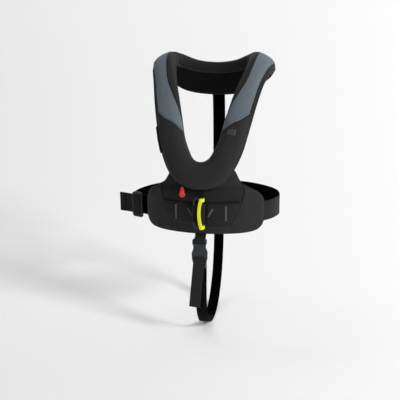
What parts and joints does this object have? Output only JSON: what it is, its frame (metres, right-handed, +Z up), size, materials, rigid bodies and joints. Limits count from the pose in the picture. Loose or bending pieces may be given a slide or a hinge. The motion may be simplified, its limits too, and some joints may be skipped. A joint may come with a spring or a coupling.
{
  "type": "inflatable life jacket",
  "caption": "Slim inflatable life jacket: horseshoe neck cover over a folded bladder, padded waist panel with hook closure, waist belt, back strap and crotch strap.",
  "frame": {"origin": "on the torso's vertical axis, at the height where the cover rests on the shoulders", "axes": "+Z up, the wearer faces -Y, +X is the wearer's left side"},
  "size_m": [0.373, 0.2844, 0.6275],
  "materials": {
    "cover_black": "matte coated woven nylon, charcoal black",
    "cover_slate": "matte coated woven nylon, slate grey",
    "lining": "black spacer mesh lining",
    "zip_tape": "woven zip tape with moulded teeth",
    "zip_metal": "black enamelled zip slider",
    "bladder_film": "yellow coated bladder fabric",
    "steel": "zinc plated steel",
    "inflator_plastic": "moulded dark green plastic",
    "seal_rubber": "moulded rubber",
    "lever_plastic": "moulded orange plastic",
    "capsule_white": "moulded white plastic",
    "tab_red": "moulded red plastic",
    "cord_black": "braided cord",
    "tube_rubber": "smooth rubber tube",
    "reflective": "grey retro-reflective tape",
    "webbing": "black woven webbing",
    "buckle_plastic": "moulded black acetal",
    "ring_metal": "black coated steel wire",
    "hook_yellow": "fluorescent yellow moulded nylon"
  },
  "bodies": {
    "jacket": {"cover_front": "cover_black", "shoulder_panel_left": "cover_slate", "shoulder_panel_right": "cover_slate", "inner_panel_left": "cover_black", "inner_panel_right": "cover_black", "side_gusset_left": "cover_black", "side_gusset_right": "cover_black", "neck_collar": "cover_black", "cover_lining": "lining", "burst_zip": "zip_tape", "zip_garage": "lining", "bladder": "bladder_film", "inflator_body": "inflator_plastic", "manifold_seal": "seal_rubber", "lever_pin": "steel", "water_capsule": "capsule_white", "status_window": "inflator_plastic", "oral_tube": "tube_rubber", "oral_valve": "lever_plastic", "whistle": "lever_plastic", "reflective_patch": "reflective", "waist_panel": "cover_black", "front_flap": "cover_black", "pocket_left": "cover_black", "pocket_right": "cover_black", "tack_bars": "reflective", "waist_belt": "webbing", "belt_anchor": "webbing", "belt_slider": "buckle_plastic", "closure_ring": "ring_metal", "ring_webbing": "webbing", "hook_pin": "steel", "hook_webbing": "webbing", "back_strap": "webbing", "back_plate": "buckle_plastic", "buckle_webbing": "webbing", "buckle_socket": "buckle_plastic", "crotch_strap_rear": "webbing"},
    "closure_hook": {"closure_hook": "hook_yellow"},
    "zip_slider": {"zip_slider": "zip_metal"},
    "gas_cylinder": {"gas_cylinder": "steel"},
    "firing_lever": {"firing_lever": "lever_plastic"},
    "firing_pin": {"firing_pin": "steel"},
    "capsule_cap": {"capsule_cap": "seal_rubber"},
    "pull_handle": {"pull_lanyard": "cord_black", "pull_tab": "tab_red"},
    "oral_cap": {"oral_cap": "seal_rubber"},
    "belt_tail": {"belt_tail": "webbing"},
    "crotch_plug": {"buckle_plug": "buckle_plastic", "crotch_tail": "webbing", "crotch_strap_front": "webbing"}
  },
  "joints": [
    {"name": "hook_swing", "type": "hinge", "parent": "jacket", "child": "closure_hook", "pos_m": [0.0066, -0.142, -0.306], "axis": [0, 0, 1], "range_deg": [0, 80]},
    {"name": "zip_run", "type": "slide", "parent": "jacket", "child": "zip_slider", "axis": [-0.2167, 0.3981, 0.8914], "range_m": [0, 0.012]},
    {"name": "cylinder_turn", "type": "hinge", "parent": "jacket", "child": "gas_cylinder", "pos_m": [-0.05, -0.1234, -0.1841], "axis": [-0.3146, 0.35, 0.8823], "continuous": true},
    {"name": "handle_pull", "type": "slide", "parent": "jacket", "child": "pull_handle", "axis": [0, 0, -1], "range_m": [0, 0.014]},
    {"name": "lever_swing", "type": "hinge", "parent": "jacket", "child": "firing_lever", "pos_m": [-0.04179, -0.13786, -0.19357], "axis": [0.0632, 0.9352, -0.3485], "range_deg": [0, 65]},
    {"name": "pin_strike", "type": "slide", "parent": "jacket", "child": "firing_pin", "axis": [-0.3146, 0.35, 0.8823], "range_m": [0, 0.0029]},
    {"name": "cap_twist", "type": "hinge", "parent": "jacket", "child": "capsule_cap", "pos_m": [-0.04056, -0.1339, -0.21057], "axis": [-0.3146, 0.35, 0.8823], "range_deg": [0, 90]},
    {"name": "oral_cap_pull", "type": "slide", "parent": "jacket", "child": "oral_cap", "axis": [0.306, 0.4034, 0.8624], "range_m": [0, 0.012]},
    {"name": "tail_pull", "type": "slide", "parent": "jacket", "child": "belt_tail", "axis": [-0.9272, 0.3746, 0], "range_m": [0, 0.02]},
    {"name": "crotch_release", "type": "slide", "parent": "jacket", "child": "crotch_plug", "axis": [0, 0, -1], "range_m": [0, 0.03]}
  ],
  "couplings": [
    {"joint": "lever_swing", "follows": "handle_pull", "rad_per_m": 80},
    {"joint": "pin_strike", "follows": "handle_pull", "ratio": 0.2}
  ]
}
